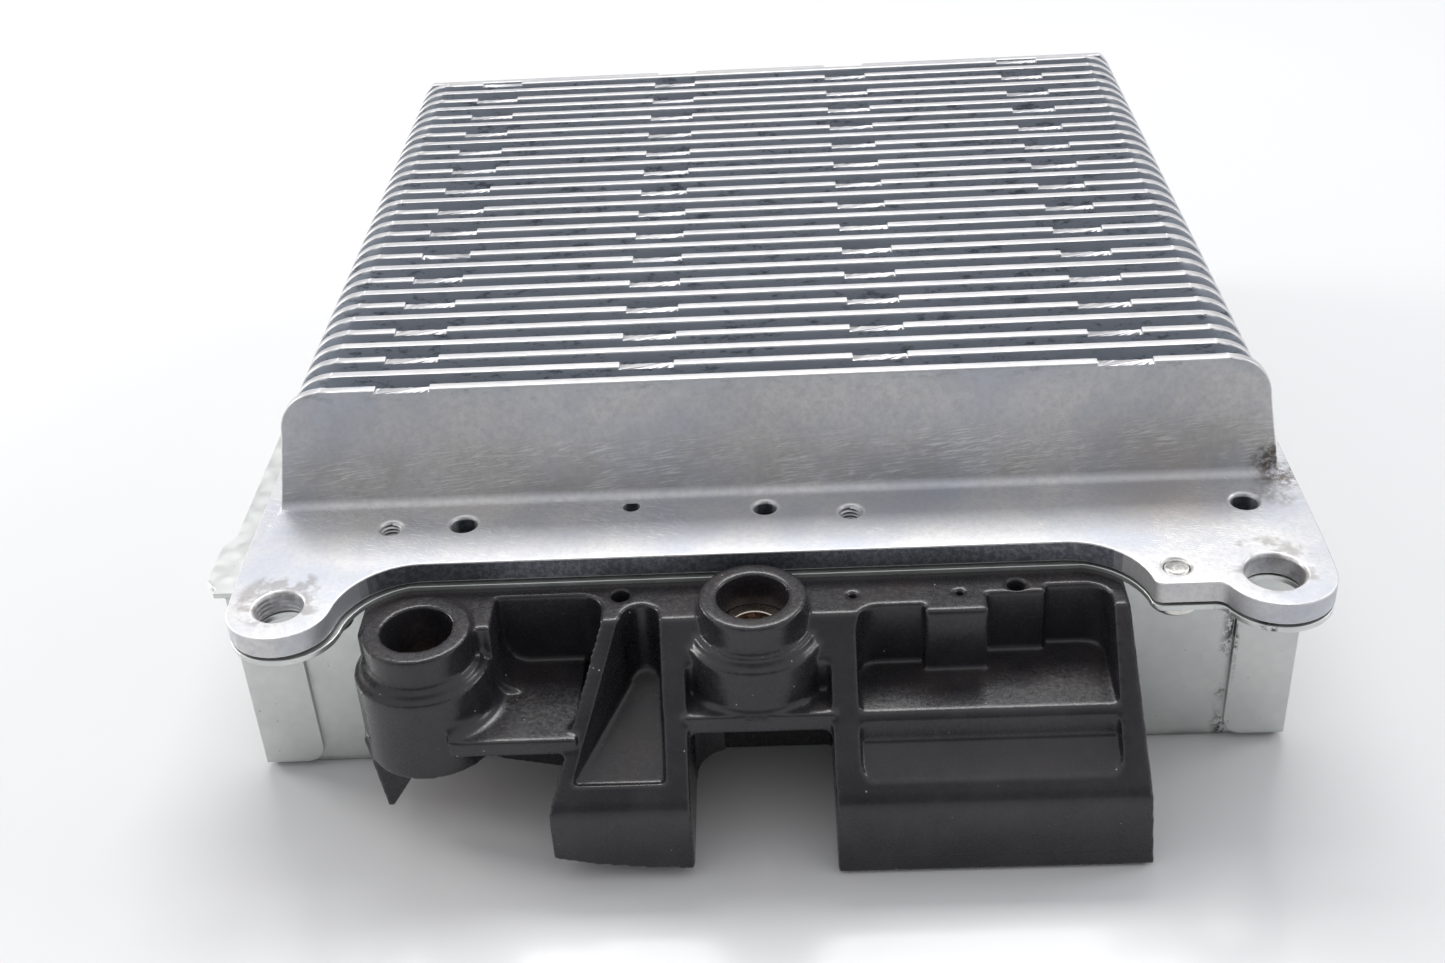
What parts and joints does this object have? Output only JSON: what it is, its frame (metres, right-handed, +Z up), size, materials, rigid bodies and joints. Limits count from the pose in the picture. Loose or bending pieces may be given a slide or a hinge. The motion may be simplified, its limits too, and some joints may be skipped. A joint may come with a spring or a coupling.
{
  "type": "finned power converter",
  "caption": "Fin-cooled power converter: cast heatsink lid on a folded steel tray, with a moulded terminal block carrying two bosses and two hoods on the front.",
  "frame": {"origin": "centre of the resting face mount: on the plane of the tray's underside, under the middle of the fin block", "axes": "+X along the fins to the right seen from the terminal side, +Y from the terminal block to the back, +Z up through the fins"},
  "size_m": [0.2145, 0.2573, 0.076],
  "materials": {
    "cast_aluminium": "blasted die casting",
    "zinc_plated_steel": "zinc plated sheet",
    "weld_steel": "heat-darkened spot",
    "gasket_rubber": "matt",
    "screw_steel": "bright zinc",
    "black_glass_filled_plastic": "moulded, fine grain",
    "seal_rubber": "silicone",
    "terminal_metal": "tinned copper alloy",
    "copper": "bare copper",
    "header_plastic": "natural nylon",
    "gold_contact": "gold flash",
    "liner_sheet": "fibre sheet",
    "board_laminate": "green resist",
    "thermal_pad": "silicone pad",
    "component_black": "epoxy",
    "tinned_leads": "tinned",
    "spring_steel": "spring steel",
    "ferrite": "sintered",
    "enamelled_copper": "enamelled",
    "capacitor_sleeve": "shrink sleeve",
    "film_capacitor_case": "epoxy case",
    "spacer_brass": "turned",
    "vent_plastic": "moulded"
  },
  "bodies": {
    "root": {"heatsink": "cast_aluminium", "flange_frame": "zinc_plated_steel", "tray": "zinc_plated_steel", "spot_welds": "weld_steel", "lid_gasket": "gasket_rubber", "tray_screws": "screw_steel", "terminal_block": "black_glass_filled_plastic", "block_seal": "seal_rubber", "block_screws": "screw_steel", "left_terminal_bush": "terminal_metal", "centre_terminal_bush": "terminal_metal", "input_busbar": "copper", "output_busbar": "copper", "busbar_screws": "screw_steel", "signal_header": "header_plastic", "signal_pins": "gold_contact", "insulating_liner": "liner_sheet", "power_board": "board_laminate", "board_screws": "screw_steel", "insulator_pads": "thermal_pad", "power_transistors": "component_black", "transistor_leads": "tinned_leads", "clamp_bars": "spring_steel", "clamp_screws": "screw_steel", "transformer_core_upper": "ferrite", "transformer_core_lower": "ferrite", "transformer_winding": "enamelled_copper", "transformer_pad": "thermal_pad", "choke_core": "ferrite", "choke_winding": "enamelled_copper", "storage_capacitors": "capacitor_sleeve", "film_capacitors": "film_capacitor_case", "control_board": "board_laminate", "board_spacers": "spacer_brass", "control_chips": "component_black", "pressure_vent": "vent_plastic"}
  },
  "joints": []
}
